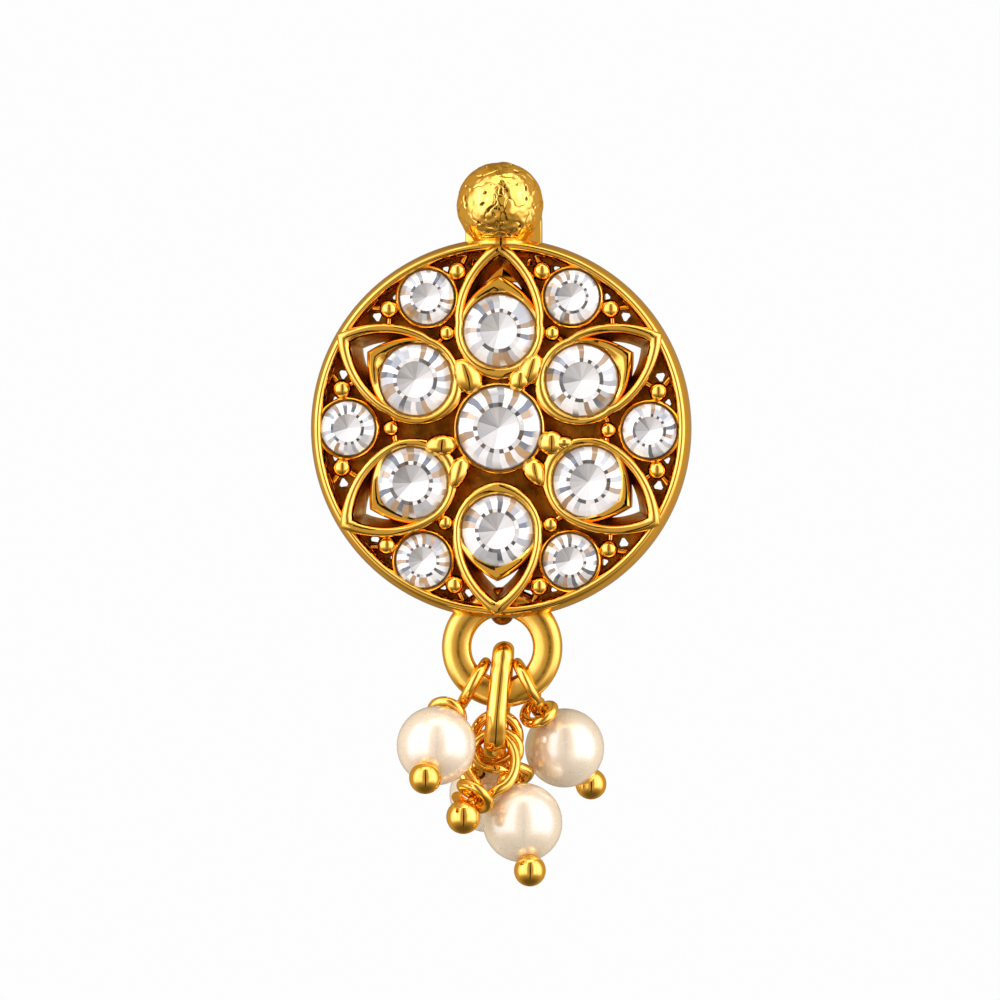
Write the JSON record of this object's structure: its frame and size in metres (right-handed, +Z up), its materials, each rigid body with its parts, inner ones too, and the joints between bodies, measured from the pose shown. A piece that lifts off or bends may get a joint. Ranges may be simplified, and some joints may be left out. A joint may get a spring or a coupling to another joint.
{
  "type": "nose pin",
  "caption": "Round openwork nose pin with clear stones in a flower setting, a ball above it, small pearl drops on a link below and a straight post behind.",
  "frame": {"origin": "on the post's axis, at the back face of the post's foot, where it meets the skin", "axes": "+Z up, -Y to the front of the ornament, +Y along the post away from it"},
  "size_m": [0.011, 0.0111, 0.0207],
  "materials": {
    "gold": "polished",
    "crystal": "faceted, mirror-backed",
    "pearl": "pearl lustre"
  },
  "bodies": {
    "root": {"medallion": "gold", "stone_center": "crystal", "stone_petal_1": "crystal", "stone_petal_2": "crystal", "stone_petal_3": "crystal", "stone_petal_4": "crystal", "stone_petal_5": "crystal", "stone_petal_6": "crystal", "stone_outer_1": "crystal", "stone_outer_2": "crystal", "stone_outer_3": "crystal", "stone_outer_4": "crystal", "stone_outer_5": "crystal", "stone_outer_6": "crystal", "nose_post": "gold", "link": "gold", "head_pin_left": "gold", "pearl_left": "pearl", "head_pin_right": "gold", "pearl_right": "pearl", "head_pin_front": "gold", "pearl_front": "pearl", "head_pin_back": "gold", "pearl_back": "pearl", "head_pin_gold": "gold"}
  },
  "joints": []
}
